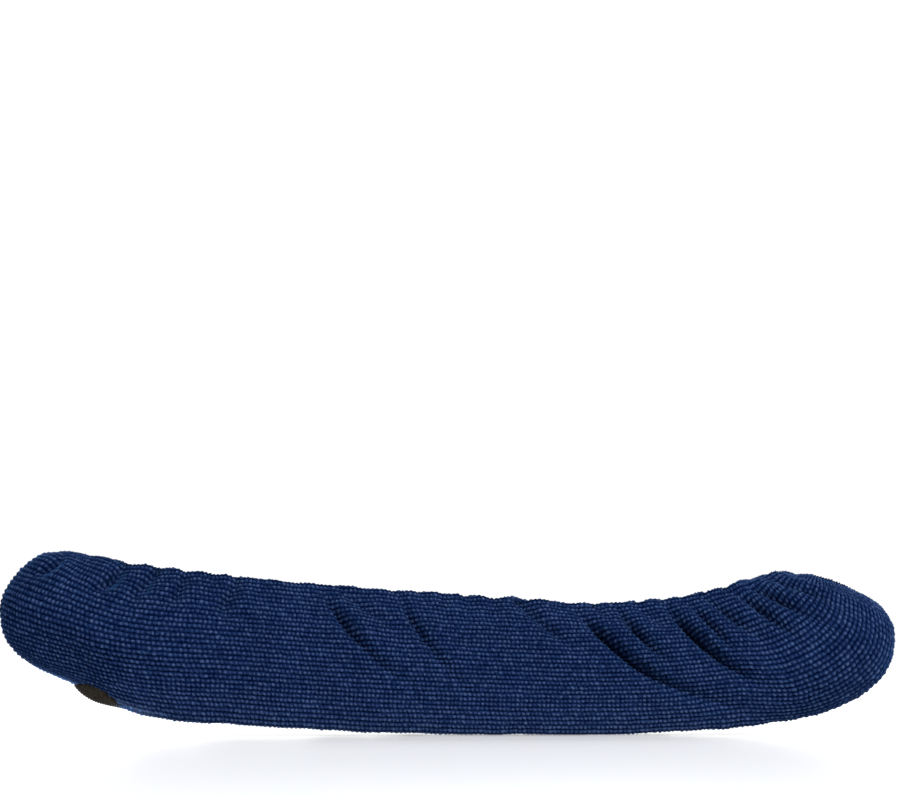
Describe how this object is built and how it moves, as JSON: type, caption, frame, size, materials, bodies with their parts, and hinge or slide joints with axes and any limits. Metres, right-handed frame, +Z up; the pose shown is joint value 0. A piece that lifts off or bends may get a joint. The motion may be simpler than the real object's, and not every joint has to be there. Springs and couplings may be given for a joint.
{
  "type": "skate blade guard",
  "caption": "Soft terry cover for a figure-skate blade, closed at toe and heel, with an elastic-gathered mouth and a ribbed webbing strip under the foot.",
  "frame": {"origin": "on the surface the sole stands on, under the middle of the cover's length and width", "axes": "+X along the cover from toe to heel, -Y the near side, +Z up through the mouth"},
  "size_m": [0.3294, 0.0372, 0.068],
  "materials": {
    "terry": "navy microfibre terry, matte with a soft pile",
    "webbing": "black ribbed woven webbing, slight sheen",
    "elastic": "white woven elastic",
    "thread": "navy polyester sewing thread"
  },
  "bodies": {
    "sole": {"sole_strip": "webbing", "sole_terry": "terry", "near_sole_stitching": "thread", "far_sole_stitching": "thread", "toe_seam": "terry", "heel_seam": "terry", "toe_bartack": "thread", "heel_bartack": "thread"},
    "near_side": {"near_side_panel": "terry", "near_elastic": "elastic", "near_hem_facing": "terry", "near_hem_stitching": "thread"},
    "far_side": {"far_side_panel": "terry", "far_elastic": "elastic", "far_hem_facing": "terry", "far_hem_stitching": "thread"}
  },
  "joints": [
    {"name": "near_side_open", "type": "hinge", "parent": "sole", "child": "near_side", "pos_m": [0, -0.012, 0.001], "axis": [1, 0, 0], "range_deg": [0, 16], "stiffness_Nm_per_rad": 0.3, "springref_deg": -17.19},
    {"name": "far_side_open", "type": "hinge", "parent": "sole", "child": "far_side", "pos_m": [0, 0.012, 0.001], "axis": [1, 0, 0], "range_deg": [-16, 0], "stiffness_Nm_per_rad": 0.3, "springref_deg": 17.19}
  ],
  "couplings": [
    {"joint": "far_side_open", "follows": "near_side_open", "ratio": -1}
  ]
}
